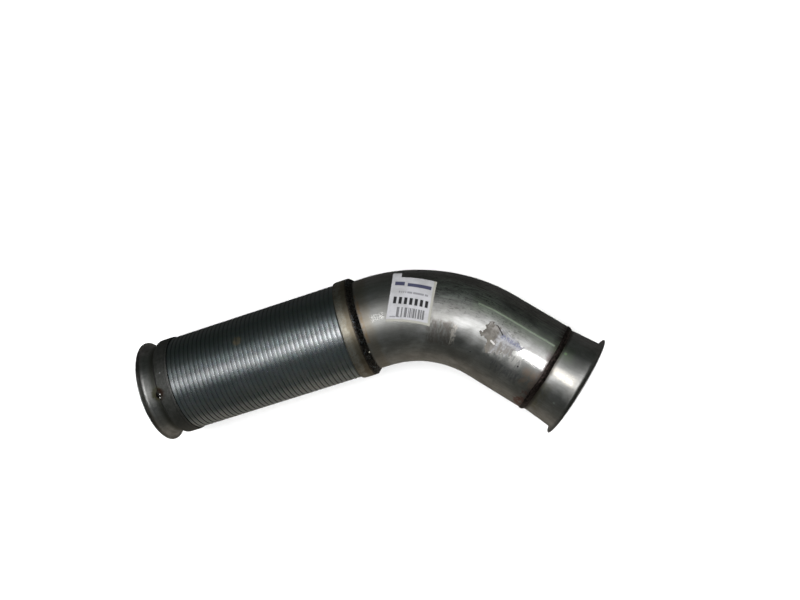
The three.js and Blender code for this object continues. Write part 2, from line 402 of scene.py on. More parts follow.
def weld_tints(shader):
    """The colours that the heat of the two round welds left on the tube and the outlet stub. On the
    stub's sleeve a creamy tint also serves as a painted highlight along its top, with painted shade
    beside it.
    """
    end = OUTLET
    patchy = shader.step(shader.wobble, 0.35, 0.6)
    dull = shader.region((8, 48), (-30, 60), 8, 10)
    shader.tint(dull, 0.30, (0.30, 0.30, 0.28), 0.38)
    straw = shader.region((7, 22), ALL_ROUND, 6, 5)
    shader.tint(straw, 0.55, (0.36, 0.31, 0.235), 0.36)
    rusty = shader.both(shader.region((7.5, 12), (-25, 40), 2, 1.5), patchy)
    shader.tint(rusty, 0.6, (0.36, 0.23, 0.11), 0.42)
    soot = shader.region((3, 7.5), ALL_ROUND, 2, 1.5)
    shader.tint(soot, 0.75, (0.10, 0.085, 0.07), 0.45)
    purple = shader.region((end - 8, end), ALL_ROUND, 4, 3)
    shader.tint(purple, 0.55, (0.17, 0.13, 0.125), 0.38)
    grime = shader.region((end - 4.5, end), ALL_ROUND, 2.5, 1.5)
    shader.tint(grime, 0.6, (0.085, 0.062, 0.062), 0.45)
    tan = shader.both(shader.region((end - 22, end - 2), (-32, -10), 5, 4), patchy)
    shader.tint(tan, 0.6, (0.50, 0.38, 0.29), 0.38)
    ragged = shader.step(shader.wobble, 0.4, 0.6)
    rust = shader.both(shader.region((end - 14, end - 1), (-85, -38), 6, 5), ragged)
    shader.tint(rust, 0.75, (0.26, 0.10, 0.07), 0.45)
    # Painted shade: the sleeve is darker from 12 to 36 degrees towards the outside, beside its lit
    # band.
    shade = shader.region((end + 8, end + 38), (12, 36), 4, 4)
    shader.tint(shade, 0.5, (0.24, 0.25, 0.24), 0.36)
    # Creamy heat tint and painted highlight: a pale, glossy band along the sleeve's top.
    uneven = shader.step(shader.wobble, 0.30, 0.55, 0.35, 1.0)
    cream_and_highlight = shader.both(shader.region((end + 5, end + 37), (-4, 8.5), 1.5, 2.5), uneven)
    shader.tint(cream_and_highlight, 0.6, (0.66, 0.62, 0.55), 0.24)
    olive = shader.both(shader.region((end + 3, end + 17), (-60, -14), 9, 5), patchy)
    shader.tint(olive, 0.6, (0.30, 0.28, 0.17), 0.36)
    stub_soot = shader.region((end, end + 7.5), ALL_ROUND, 1.5, 2)
    shader.tint(stub_soot, 0.75, (0.09, 0.075, 0.06), 0.45)


def handling_marks(shader):
    """Glue, scuffs, mill scale and spatter on the bent tube and the outlet stub, with pale oxidised
    streaks that are partly a painted reflection, the painted reflection of a green strip lamp, and a
    painted highlight on a glossier patch at the end of the leg.
    """
    end = OUTLET
    fine = shader.noise(shader.scaled(420, 300), 4.0, 0.7)
    flecks = shader.noise(shader.scaled(230, 520), 3.0, 0.7, 0.6)
    drips = shader.noise(shader.scaled(330, 110), 4.0, 0.65)
    streaks_and_reflection = shader.noise(shader.scaled(60, 330), 5.0, 0.7, 0.5)
    squiggles = shader.cells(shader.scaled(330, 420), "DISTANCE_TO_EDGE")["Distance"]
    # Pale oxidised streaks, lightened as a painted reflection from 20 to 52 degrees towards the
    # outside.
    pale = shader.both(shader.region((98, 166), (20, 52), 8, 7), shader.step(streaks_and_reflection, 0.38, 0.62))
    shader.tint(pale, 0.75, (0.80, 0.86, 0.79), 0.42)
    streaky = shader.both(shader.region((140, end), (30, 75), 8, 6), shader.step(streaks_and_reflection, 0.45, 0.65))
    shader.tint(streaky, 0.5, (0.72, 0.76, 0.68), 0.36)
    thin = shader.step(streaks_and_reflection, 0.3, 0.6, 0.4, 1.0)
    # Painted reflection: a broad greenish glow round the green strip lamp's line.
    green = shader.both(shader.region((140, end + 20), (20, 38), 5, 6), thin)
    shader.tint(green, 0.4, (0.34, 0.44, 0.28), 0.32)
    # Painted highlight: a lighter, glossier patch on the end of the outlet leg, under the flash's
    # reflection.
    polish_and_highlight = shader.region((211, end - 4), (-5.5, 7.5), 2.5, 2)
    shader.tint(polish_and_highlight, 0.8, (0.78, 0.775, 0.77), 0.17)
    scale = shader.both(shader.region((55, 215), (8, 75), 6, 8), shader.step(flecks, 0.52, 0.66))
    shader.tint(scale, 0.6, (0.13, 0.135, 0.12), 0.45)
    glue = shader.both(shader.region((93, 131), (-34, -4), 5, 2.5), shader.step(drips, 0.34, 0.58))
    shader.tint(glue, 0.62, (0.19, 0.16, 0.135), 0.5)
    rim = shader.both(shader.region((127, 133), (-30, -3), 8, 1), shader.step(fine, 0.40, 0.52))
    shader.tint(rim, 0.85, (0.74, 0.70, 0.64), 0.45)
    line = shader.step(squiggles, 0.02, 0.09, 1.0, 0.0)
    scuffs = shader.both(shader.region((22, 38), (-2, 6), 2, 2), line)
    shader.coat(scuffs, (0.95, 0.94, 0.92), 0.42)
    smears = shader.both(shader.region((176, 224), (-22, -3), 5, 4), shader.step(drips, 0.42, 0.56))
    shader.tint(smears, 0.9, (0.74, 0.73, 0.70), 0.52)
    dirt_and_shade = shader.both(shader.region((190, 232), (-36, -18), 5, 5), shader.step(drips, 0.42, 0.60))
    shader.tint(dirt_and_shade, 0.5, (0.13, 0.13, 0.15), 0.45)
    # Painted reflection: the thin lime line of a green strip lamp, broken up in places.
    painted_light_mask = shader.step(flecks, 0.2, 0.45, 0.7, 1.0)
    painted_lamp_line = shader.both(shader.region((146, end - 6), (27.6, 29.8), 0.5, 0.9), painted_light_mask)
    shader.coat(painted_lamp_line, (0.85, 0.97, 0.78), 0.50)
    scorched = shader.either(shader.spot(222, -15, 1.1), shader.spot(161, -30, 0.8))
    shader.tint(scorched, 0.9, (0.03, 0.03, 0.04), 0.5)
    # Painted reflection: a green dot where the lamp's line shows on the sleeve.
    shader.tint(shader.spot(263.5, 28, 1.9), 0.8, (0.55, 0.78, 0.45), 0.42)
    shader.tint(shader.spot(282, -31, 1.5), 0.8, (0.66, 0.72, 0.66), 0.42)


def tack_names():
    return sorted(name for name in frame["nodes"] if name.startswith("inlet_tack_weld_"))


def tack_place(name):
    """The run and the angle of a tack weld's middle."""
    low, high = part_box(name)
    middle = (low + high) / 2 - ORIGIN
    return middle.x, math.atan2(middle.y, middle.z)


def tack_angles():
    """Degrees round the pipe of each tack weld."""
    return [tack_place(name)[1] / DEGREE for name in tack_names()]


def tack_tints(shader):
    """Olive and reddish-brown heat round the tack welds, on the stub and on the collar."""
    patchy = shader.step(shader.wobble, 0.30, 0.62)
    for degrees in tack_angles():
        olive = shader.both(shader.spot(COLLAR_RIM - 2, degrees + 2, 9), patchy)
        shader.tint(olive, 0.85, (0.10, 0.098, 0.045), 0.45)
        brown = shader.both(shader.spot(COLLAR_RIM + 3, degrees + 0.5, 7), patchy)
        shader.tint(brown, 0.9, (0.050, 0.026, 0.022), 0.50)
        shader.coat(shader.spot(COLLAR_RIM + 0.5, degrees - 1, 3.5), (0.020, 0.018, 0.014), 0.50)


def painted_tack_glints(shader):
    """Two small spatter drops beside each tack weld, painted pale and non-metallic as glints. Gives how
    bare the steel is.
    """
    spots = []
    for degrees in tack_angles():
        spots.append(shader.spot(COLLAR_RIM + 3, degrees + 0.2, 0.75))
        spots.append(shader.spot(COLLAR_RIM + 1.5, degrees - 3.4, 0.85))
    drops = shader.either(*spots)
    shader.coat(drops, (0.50, 0.50, 0.48), 0.4)
    return shader.math("SUBTRACT", 1.0, drops)


def tube_steel():
    """Bare drawn steel of the bent tube and the stubs, darker in the neck beside the inlet collar."""
    shader = Shader("tube_steel")
    height = drawn_steel(shader, (0.31, 0.305, 0.29), (0.64, 0.64, 0.63))
    neck = shader.step(shader.run, COLLAR_START - 13 * MM, COLLAR_START - 3 * MM, 0.0, 0.95)
    start = shader.math("LESS_THAN", shader.run, HOSE_START)
    shader.coat(shader.both(neck, start), (0.115, 0.118, 0.10), 0.48)
    weld_tints(shader)
    handling_marks(shader)
    tack_tints(shader)
    return shader.finish(1.0, shader.bump(height, 0.35, 0.25 * MM), anisotropic=0.3)


def collar_steel():
    """Satin steel of the two collars. The middle one is straw-coloured where its weld heated it, with a
    painted highlight round its top, painted light towards the inside of the bend, brown heat and
    painted shade on its sides and painted shade at its edge by the hose. The inlet collar has painted
    glints.
    """
    shader = Shader("collar_steel")
    height = drawn_steel(shader, (0.165, 0.165, 0.158), (0.24, 0.24, 0.232))
    shader.rough = shader.math("MULTIPLY_ADD", shader.wobble, 0.12, 0.52)
    grimy = shader.step(shader.noise(shader.scaled(300, 180), 4.0, 0.7), 0.42, 0.60, 0.1, 0.55)
    shader.coat(grimy, (0.105, 0.112, 0.098), 0.48)
    middle = shader.region((MIDDLE_RIM - 20, 10), ALL_ROUND)
    sides = shader.step(shader.math("ABSOLUTE", shader.degrees), 25, 45)
    patchy = shader.step(shader.wobble, 0.42, 0.62)
    shader.coat(middle, (0.41, 0.40, 0.365), 0.34)
    # Straw heat tint, kept to the band round the top and creamier there as a painted highlight.
    straw = shader.region((MIDDLE_RIM + 2, -6), (-30, 36), 9, 8)
    shader.tint(straw, 0.75, (0.60, 0.56, 0.46), 0.33)
    # Painted light: paler and rougher from 24 to 72 degrees towards the inside of the bend.
    low = shader.region((MIDDLE_RIM + 2, -4), (-72, -24), 3, 8)
    shader.tint(low, 0.6, (0.62, 0.61, 0.57), 0.44)
    grain = shader.noise(shader.scaled(420, 300), 4.0, 0.7)
    mottle = shader.both(middle, shader.step(grain, 0.42, 0.62))
    shader.tint(mottle, 0.5, (0.33, 0.27, 0.18), 0.42)
    heat = shader.region((-8.5, 2), ALL_ROUND, 2.5, 2.5)
    shader.tint(heat, 0.72, (0.25, 0.205, 0.14), 0.38)
    # Brown heat tint kept to the sides, where it also darkens them as painted shade.
    brown = shader.both(shader.region((MIDDLE_RIM, 2), ALL_ROUND), sides, patchy)
    shader.tint(brown, 0.5, (0.18, 0.14, 0.09), 0.42)
    soot = shader.region((-2.2, 2), ALL_ROUND, 1.5, 0.8)
    shader.tint(soot, 0.8, (0.05, 0.04, 0.035), 0.5)
    # Painted shade: a dark line round the edge by the hose, standing for the gap to the last turn.
    edge = shader.region((MIDDLE_RIM - 1, MIDDLE_RIM + 1), ALL_ROUND, 0, 0.5)
    shader.tint(edge, 0.6, (0.10, 0.10, 0.09), 0.45)
    violet = shader.region((COLLAR_RIM - 1, COLLAR_RIM + 1.8), (-12, 26), 1, 1)
    shader.tint(violet, 0.7, (0.10, 0.07, 0.09), 0.4)
    ridge = shader.region((COLLAR_RIM + 15.2, COLLAR_RIM + 16.2), ALL_ROUND, 0.4, 0.4)
    shader.tint(ridge, 0.5, (0.08, 0.08, 0.08), 0.45)
    # Painted glint: a white dot on the inlet collar.
    shader.coat(shader.spot(COLLAR_RIM + 9.5, 17, 0.9), (0.85, 0.85, 0.85), 0.3)
    tack_tints(shader)
    # Painted glints: pale dots beside the tack welds.
    bare = painted_tack_glints(shader)
    return shader.finish(bare, shader.bump(height, 0.4, 0.25 * MM))


def hose_steel():
    """Galvanised strip: cool grey, with a painted highlight along its top, painted shade from there
    towards the outside of the bend, and painted shade low in the grooves towards the inside.
    """
    shader = Shader("hose_steel")
    clouds = shader.noise(shader.scaled(20, 26), 4.0, 0.6, 0.5)
    patches = shader.noise(shader.scaled(160, 75), 3.0, 0.6)
    spangle = shader.cells(shader.scaled(420, 260))["Color"]
    drawn = shader.noise(shader.scaled(2600, 90), 2.0, 0.5)
    tone = shader.mix(shader.step(clouds, 0.3, 0.7), (0.35, 0.395, 0.41), (0.49, 0.525, 0.54))
    tone = shader.mix(shader.step(patches, 0.40, 0.70, 0.0, 0.25), tone, (0.28, 0.32, 0.335))
    shader.tone = shader.mix(0.10, tone, spangle, "SOFT_LIGHT")
    shader.rough = shader.step(patches, 0.3, 0.7, 0.22, 0.26)
    # Painted highlight: a lighter, neutral band along the strip's top, where the key light reflects.
    painted_light_mask = shader.within(shader.degrees, -8, 6, 3)
    shader.tint(painted_light_mask, 0.5, (0.50, 0.505, 0.51), 0.24)
    # Painted shade: the strip turns darker and rougher from just past its top towards the outside of
    # the bend.
    painted_top_shade = shader.step(shader.degrees, 4, 21, 0.0, 0.55)
    shader.coat(painted_top_shade, (0.15, 0.19, 0.185), 0.34)
    # Painted shade in the grooves, heavy from about 52 degrees towards the inside of the bend and faint
    # near the top.
    low = shader.step(shader.radius, HOSE_OUTER - 1.0 * MM, HOSE_OUTER - 0.35 * MM, 1.0, 0.0)
    dirt_and_shade = shader.both(low, shader.step(shader.degrees, -52, -34, 0.8, 0.06))
    shader.coat(dirt_and_shade, (0.10, 0.115, 0.115), 0.40)
    patchy = shader.step(shader.wobble, 0.35, 0.55)
    stain = shader.both(shader.spot(HOSE_START / MM + 98, 26.5, 6), patchy)
    shader.tint(stain, 0.6, (0.50, 0.40, 0.25), 0.4)
    height = shader.math("MULTIPLY_ADD", patches, 0.3, drawn)
    return shader.finish(1.0, shader.bump(height, 0.06, 0.12 * MM))


def weld_steel():
    """Weld beads under near-black scale, with blue-grey glassy slag in places."""
    shader = Shader("weld")
    scale = shader.noise(shader.scaled(260, 260), 5.0, 0.65, 0.6)
    slag = shader.noise(shader.scaled(430, 240), 3.0, 0.6, 1.0)
    crust = shader.step(scale, 0.35, 0.65)
    shader.tone = shader.mix(crust, (0.016, 0.015, 0.014), (0.075, 0.068, 0.06))
    shader.rough = 0.5
    outlet = shader.region((OUTLET - 8, OUTLET + 9), ALL_ROUND)
    brown = shader.mix(shader.step(slag, 0.40, 0.60), (0.030, 0.024, 0.021), (0.115, 0.085, 0.078))
    shader.tint(outlet, 0.8, brown, 0.45)
    few = shader.step(shader.noise(shader.scaled(60, 60), 2.0), 0.46, 0.56)
    glint = shader.both(shader.step(slag, 0.55, 0.66), few, shader.math("SUBTRACT", 1.0, outlet))
    shader.tint(glint, 0.6, (0.36, 0.42, 0.46), 0.28)
    drop = shader.spot(6.2, -36.5, 1.0)
    shader.coat(drop, (0.34, 0.33, 0.27), 0.45)
    return shader.finish(shader.math("SUBTRACT", 1.0, drop), shader.bump(scale, 0.7, 0.5 * MM))


def label_paper():
    """White coated paper with plain printed bars, placed by the sheet attribute."""
    shader = Shader("label_paper")
    sheet = shader.node("Attribute", attribute_name="sheet").outputs["Vector"]
    parts = shader.node("SeparateXYZ", {"Vector": sheet}).outputs
    right, up = parts["X"], parts["Y"]
    edge = 0.25 * MM

    def block(left, end, low, high):
        """A printed block, in millimetres from the label's low left corner."""
        wide = shader.within(right, left * MM, end * MM, edge)
        return shader.both(wide, shader.within(up, low * MM, high * MM, edge))

    def bars(start, period, share):
        """Upright bars of one width, that repeat to the right."""
        place = shader.math("DIVIDE", shader.math("SUBTRACT", right, start * MM), period * MM)
        return shader.within(shader.math("FRACT", place), 0.5 - share / 2, 0.5 + share / 2, 0.06)

    def stripes(width, seed, share):
        """Uneven upright stripes of a given least width, covering about the given share."""
        number = shader.math("FLOOR", shader.math("DIVIDE", right, width * MM))
        seeded = {"W": shader.math("ADD", number, seed)}
        chance = shader.node("TexWhiteNoise", seeded, noise_dimensions="1D")
        return shader.math("LESS_THAN", chance.outputs["Value"], share)

    fibres = shader.noise(shader.scaled(900), 3.0, 0.6)
    stains = shader.noise(shader.scaled(60), 3.0, 0.6, 0.5)
    shader.tone = shader.mix(shader.step(stains, 0.4, 0.75), (0.31, 0.31, 0.325), (0.25, 0.25, 0.255))
    shader.rough = 0.6
    border = shader.either(shader.step(up, 2.4 * MM, 3.4 * MM, 1.0, 0.0),
                           shader.step(right, 54 * MM, 55 * MM))
    shader.tint(border, 0.7, (0.22, 0.215, 0.175), 0.6)
    blue = shader.either(block(4.5, 17, 42.2, 47.8), block(21, 52.5, 41.6, 46.4))
    shader.tint(blue, 0.9, (0.008, 0.010, 0.042), 0.5)
    faint = shader.both(block(11, 50, 32.4, 34.8), stripes(1.3, 3.0, 0.7))
    small = shader.both(block(4, 19, 4.6, 6.0), stripes(1.3, 41.0, 0.6))
    shader.tint(shader.either(faint, small), 0.6, (0.06, 0.06, 0.07), 0.55)
    words = shader.both(block(4.2, 53.2, 19.4, 27.2), bars(4.2, 7.0, 0.58))
    shader.coat(words, (0.008, 0.008, 0.009), 0.5)
    code = shader.both(block(11.5, 48.5, 5.2, 15.8), stripes(0.85, 12.0, 0.5))
    shader.tint(code, 0.75, (0.03, 0.03, 0.032), 0.5)
    return shader.finish(0.0, shader.bump(fibres, 0.25, 0.1 * MM), specular_ior_level=0.25)


def torn_paper():
    """What is left of a second label: grey-brown backing, pale paper and a little faint blue print."""
    shader = Shader("torn_paper")
    blots = shader.noise(shader.scaled(130, 170), 4.0, 0.65, 0.8)
    fibres = shader.noise(shader.scaled(800), 3.0, 0.6)
    rags = shader.noise(shader.scaled(330, 90), 4.0, 0.65)
    shader.tone = shader.mix(shader.step(blots, 0.3, 0.7), (0.072, 0.066, 0.058), (0.13, 0.122, 0.112))
    shader.rough = 0.7
    fringe = shader.both(shader.region((158, 180), (8, 20), 3, 2), shader.step(rags, 0.45, 0.6))
    shader.tint(fringe, 0.6, (0.24, 0.23, 0.22), 0.6)
    pale = shader.mix(shader.step(blots, 0.35, 0.60), (0.145, 0.143, 0.143), (0.26, 0.26, 0.272))
    shader.coat(shader.region((182, 240), (-60, 60), 3, 1.5), pale, 0.55)
    frayed = shader.step(rags, 0.42, 0.55)
    hanging = shader.both(shader.region((172, 240), (-40, -1), 3, 2), frayed)
    shader.tint(hanging, 0.75, (0.11, 0.10, 0.085), 0.6)
    broken = shader.step(shader.noise(shader.scaled(650, 300), 2.0), 0.40, 0.55)
    printed = shader.both(shader.region((186, 214), (3.5, 8.5), 0.8, 0.8), broken)
    shader.tint(printed, 0.65, (0.07, 0.08, 0.15), 0.55)
    shader.coat(shader.streak((178.5, -5.2), (183.5, -6.6), 1.1), (0.40, 0.39, 0.38), 0.5)
    crack = shader.either(shader.streak((170, 15), (178, 13), 0.5),
                          shader.streak((178, 13), (187, 7.5), 0.8))
    shader.tint(crack, 0.9, (0.012, 0.010, 0.010), 0.7)
    return shader.finish(0.0, shader.bump(fibres, 0.5, 0.2 * MM), specular_ior_level=0.3)


TUBE = tube_steel()
COLLAR = collar_steel()
HOSE = hose_steel()
WELD = weld_steel()
LABEL = label_paper()
TORN = torn_paper()


# ---------------------------------------------------------------- flares and tube

# The lip's rounded rim: millimetres from the lip's face and below its largest radius
RIM = ((0.0, 0.9), (0.15, 0.35), (0.45, 0.08), (0.75, 0.0), (1.05, 0.08), (1.35, 0.35), (1.5, 0.9))


def flare_outline(lip, inward, lip_radius, fillet, neck):
    """The outline of a flared stub, from its lip to its far end and back inside.

    inward is 1 where runs grow from the lip into the pipe and -1 where they fall. neck lists the
    (distance from the lip, radius) points of the tube's outside.
    """
    def throat(start, size, radius):
        """The quarter of a circle that leads from the lip down to the neck."""
        angles = [math.pi / 2 * step / 12 for step in range(13)]
        return [(start + size * (1 - math.cos(angle)), radius + size * (1 - math.sin(angle)))
                for angle in angles]

    neck_radius = neck[0][1]
    rim = [(distance * MM, lip_radius - drop * MM) for distance, drop in RIM]
    outside = throat(TUBE_WALL, fillet, neck_radius)
    far = neck[1:]
    back = [(distance, radius - TUBE_WALL) for distance, radius in reversed(far)]
    inside = throat(0, fillet + TUBE_WALL, neck_radius - TUBE_WALL)
    path = rim + outside + far + back + inside[::-1]
    return [Vector((lip + inward * distance, radius)) for distance, radius in path]


def smooth_path(points, steps=6):
    """A smooth curve through (distance, radius) points."""
    points = [Vector(point) for point in points]
    padded = [2 * points[0] - points[1], *points, 2 * points[-1] - points[-2]]
    path = []
    for a, b, c, d in zip(padded, padded[1:], padded[2:], padded[3:]):
        for step in range(steps):
            t = step / steps
            curve = (2 * a - 5 * b + 4 * c - d) * t ** 2 + (3 * b - a - 3 * c + d) * t ** 3
            path.append(0.5 * (2 * b + (c - a) * t + curve))
    return path + [points[-1]]


def inlet_flare():
    spigot = HOSE_INNER - TUBE_WALL
    neck = [(7 * MM, TUBE_RADIUS), (12 * MM, TUBE_RADIUS), (25 * MM, TUBE_RADIUS), (27.5 * MM, spigot),
            (HOSE_START - INLET_LIP - 3 * MM, spigot)]
    outline = flare_outline(INLET_LIP, 1, 68 * MM, 5.5 * MM, neck)

    def dented(run, radius, angle):
        lip = max(0, 1 - (run - INLET_LIP) / (9 * MM))
        return run, radius - 0.35 * MM * lip * (1 + wave(3.1, angle, 0, 1.6)) / 2, angle

    piece = ring("inlet_flare_fine", outline, dented, 2.5 * MM)
    finish_piece(piece, "inlet_end", "tube_steel", TUBE, "inlet_flare")


def outlet_flare():
    sleeve = smooth_path([(6.5 * MM, 61.5 * MM), (14 * MM, 60.6 * MM), (24 * MM, 59.7 * MM),
                          (37 * MM, STUB_RADIUS + 0.5 * MM), (42 * MM, STUB_RADIUS)])
    neck = sleeve + [(OUTLET_STUB + 10 * MM, STUB_RADIUS)]
    outline = flare_outline(OUTLET_LIP, -1, 69 * MM, 5 * MM, neck)

    def dented(run, radius, angle):
        lip = max(0, 1 - (OUTLET_LIP - run) / (9 * MM))
        return run, radius - 0.4 * MM * lip * (1 + wave(8.7, angle, 0, 1.4)) / 2, angle

    piece = ring("outlet_flare_fine", outline, dented, 2.5 * MM)
    finish_piece(piece, "outlet_pipe", "tube_steel", TUBE, "outlet_flare")


def bent_tube():
    """The drawn tube, a little flattened and uneven through its bend."""
    start = HOSE_END + 6 * MM
    bore = TUBE_RADIUS - TUBE_WALL
    corners = [(start, bore), (TUBE_END, bore), (TUBE_END, TUBE_RADIUS), (start, TUBE_RADIUS)]

    def drawn(run, radius, angle):
        inside = min(max((run - LEG_IN) / BEND_LENGTH, 0), 1)
        bending = math.sin(math.pi * inside) ** 2
        uneven = 0.10 * wave(5.2, angle, run, 1.5)
        uneven -= 0.12 * bending * (1 + wave(2.4, angle, run, 3.0))
        flat = 0.35 * bending * max(0, math.sin(angle)) ** 2
        return run, radius + (uneven - flat) * MM, angle

    piece = ring("bent_tube_fine", rounded(corners, 0.4 * MM, 2), drawn, 3 * MM)
    finish_piece(piece, "outlet_pipe", "tube_steel", TUBE, "bent_tube")


# ---------------------------------------------------------------- hose

def tongue(at):
    """The inner band from a riser back under the turn before it. It is the floor of their groove."""
    back = at - INNER_BAND
    return [(at, HOSE_INNER), (back, HOSE_INNER), (back, GROOVE_FLOOR), (at, GROOVE_FLOOR)]


def band(at):
    """The outer band from a riser onwards, with a slight crown and two rounded shoulders."""
    crown = []
    for side in (-1, -0.93, -0.82, -0.65, -0.4, 0, 0.4, 0.65, 0.82, 0.93, 1):
        drop = (0.06 * side ** 2 + 0.10 * side ** 4) * MM
        crown.append((at + OUTER_BAND * (1 + side) / 2, HOSE_OUTER - drop))
    return crown + [(at + OUTER_BAND, BAND_INNER), (at + STRIP, BAND_INNER)]


def uneven_strip(run, radius, angle):
    """The strip wanders a little, because it was wound and then pulled."""
    wander = 0.10 * MM * wave(6.3, angle, run * 3, 2.0)
    sunk = 0.08 * MM * (1 + wave(1.9, angle, run * 4, 2.5))
    return run + wander, radius - sunk, angle


def riser(turn):
    """The run where a turn's hook goes from its inner band up to its outer one."""
    return HOSE_START + GAP + turn * PITCH


def strip_piece(name, body, corners):
    """A piece wound from the strip, with the given outline."""
    piece = ring(name + "_fine", rounded(corners, 0.3 * MM, 3), uneven_strip, helix=True)
    finish_piece(piece, body, "hose_steel", HOSE, name)


def hose():
    for turn in range(1, TURNS + 1):
        at = riser(turn)
        name = f"hose_turn_{turn:02d}"
        strip_piece(name, name, tongue(at) + band(at) + [(at + STRIP, HOSE_INNER)])


def hose_end_inlet():
    """The turns pressed solid under the inlet collar, up to the band that shows beside it."""
    first = riser(0)
    pressed = placed(first, HOSE_OUTER, [(-12.5, -1), (-5, -1), (-3, -0.2)])
    corners = [(first - 12.5 * MM, HOSE_INNER)] + pressed + band(first) + [(first + STRIP, HOSE_INNER)]
    strip_piece("hose_end_inlet", "inlet_end", corners)


def hose_end_outlet():
    """The turns pressed solid between the middle collar and the bent tube."""
    last = riser(TURNS + 1)
    step = last + STRIP + 3 * MM
    end = HOSE_END + 13 * MM
    over_tube = TUBE_RADIUS + 1.6 * MM
    pressed = [(last, HOSE_OUTER), (end, HOSE_OUTER), (end, over_tube), (step, over_tube),
               (step, HOSE_INNER)]
    strip_piece("hose_end_outlet", "outlet_pipe", tongue(last) + pressed)


# ---------------------------------------------------------------- collars and welds

def inlet_collar():
    """The thin sleeve over the hose's first turns, rolled in onto the stub's neck."""
    wall, neck = -0.8, -4.0
    corners = placed(COLLAR_START, INLET_COLLAR_RADIUS, [(0, neck), (0, -1.6), (1.8, 0)])
    corners += placed(HOSE_START, INLET_COLLAR_RADIUS, [(-2, 0), (0, -0.5), (0, wall)])
    corners += placed(COLLAR_START, INLET_COLLAR_RADIUS, [(2, wall), (1.5, neck)])

    def pressed(run, radius, angle):
        return run, radius - 0.12 * MM * (1 + wave(4.4, angle, run, 2.0)), angle

    piece = ring("inlet_collar_fine", rounded(corners, 0.7 * MM), pressed, 2 * MM)
    finish_piece(piece, "inlet_end", "collar_steel", COLLAR, "inlet_collar")


def middle_collar():
    """The band over the hose's other end, slightly crowned."""
    corners = placed(HOSE_END, MID_COLLAR_RADIUS, [(0, -1.5), (0, -0.8), (1.5, -0.1)])
    corners += [(HOSE_END / 2, MID_COLLAR_RADIUS)]
    corners += placed(0, MID_COLLAR_RADIUS, [(0, -0.1), (0, -1.5)])

    def pressed(run, radius, angle):
        return run, radius - 0.15 * MM * (1 + wave(7.7, angle, run, 2.2)), angle

    piece = ring("middle_collar_fine", rounded(corners, 0.5 * MM), pressed, 2 * MM)
    finish_piece(piece, "outlet_pipe", "collar_steel", COLLAR, "middle_collar")


def bead(seed, ripple, period):
    """Moves the points of a weld bead: even ripples, uneven edges and lumps."""
    def rippled(run, radius, angle):
        phase = angle * TUBE_RADIUS / period + 0.8 * wave(seed, angle, 0, 3.0)
        tooth = abs(math.sin(math.pi * phase)) - 0.5
        lump = wave(seed + 2, angle, run * 6, 5.0)
        drift = 0.9 * MM * wave(seed + 4, angle, 0, 2.4)
        return run + drift, radius + ripple * tooth + 0.25 * MM * lump, angle
    return rippled


def middle_weld():
    """The bead that fills the step from the middle collar down to the bent tube."""
    profile = [(-1.0, 0.1), (-1.0, 5.8), (1.2, 5.6), (3.0, 3.8), (5.2, 2.0), (7.4, 0.1)]
    outline = rounded(placed(0, TUBE_RADIUS, profile), 0.9 * MM)
    rippled = bead(12.5, 0.3 * MM, 3.1 * MM)
    piece = ring("middle_collar_weld_fine", outline, rippled, 0.8 * MM, sides=WELD_SIDES)
    finish_piece(piece, "outlet_pipe", "weld", WELD, "middle_collar_weld")


def outlet_weld():
    """The flat bead over the end of the bent tube, down to the narrower stub."""
    profile = [(0.2, -1.7), (-2.4, 0.05), (-1.4, 0.6), (1.0, 0.65), (2.8, -0.1), (4.2, -1.1),
               (5.4, -1.7)]
    outline = rounded(placed(TUBE_END, TUBE_RADIUS, profile), 0.7 * MM)
    rippled = bead(21.5, 0.22 * MM, 2.8 * MM)
    piece = ring("outlet_weld_fine", outline, rippled, 0.8 * MM, sides=WELD_SIDES)
    finish_piece(piece, "outlet_pipe", "weld", WELD, "outlet_weld")


def tack_weld(name, seed):
    """A rippled, lumpy drop of metal over the rolled edge of the inlet collar."""
    rows, columns = 24, 40
    size = Vector((2.7 * MM, 3.9 * MM, 2.1 * MM))
    run, angle = tack_place(name)
    run += 2.2 * MM
    radius = TUBE_RADIUS + 1.6 * MM
    points, faces, straight = [], [], []
    for row in range(rows + 1):
        tilt = math.pi * row / rows
        for column in range(columns):
            turn = 2 * math.pi * column / columns
            flat = math.sin(tilt)
            way = Vector((flat * math.cos(turn), flat * math.sin(turn), math.cos(tilt)))
            lump = 1 + 0.16 * noise.noise(way * 2.2 + seed)
            ripple = 1 + 0.05 * math.sin(16 * way.y)
            along, aside, lift = (size[axis] * way[axis] * lump * ripple for axis in range(3))
            spot = (run + along, radius + lift, angle + aside / TUBE_RADIUS)
            points.append(on_pipe(*spot))
            straight.append(straightened(*spot))
    for row in range(rows):
        here, there = row * columns, (row + 1) * columns
        for column in range(columns):
            after = (column + 1) % columns
            faces.append((here + column, here + after, there + after, there + column))
    return mesh_object(name + "_fine", points, faces, straight)


def tack_welds():
    for index, name in enumerate(tack_names()):
        piece = tack_weld(name, Vector((index * 7.0, 1.0, 2.0)))
        finish_piece(piece, "inlet_end", "weld", WELD, name)


# ---------------------------------------------------------------- labels

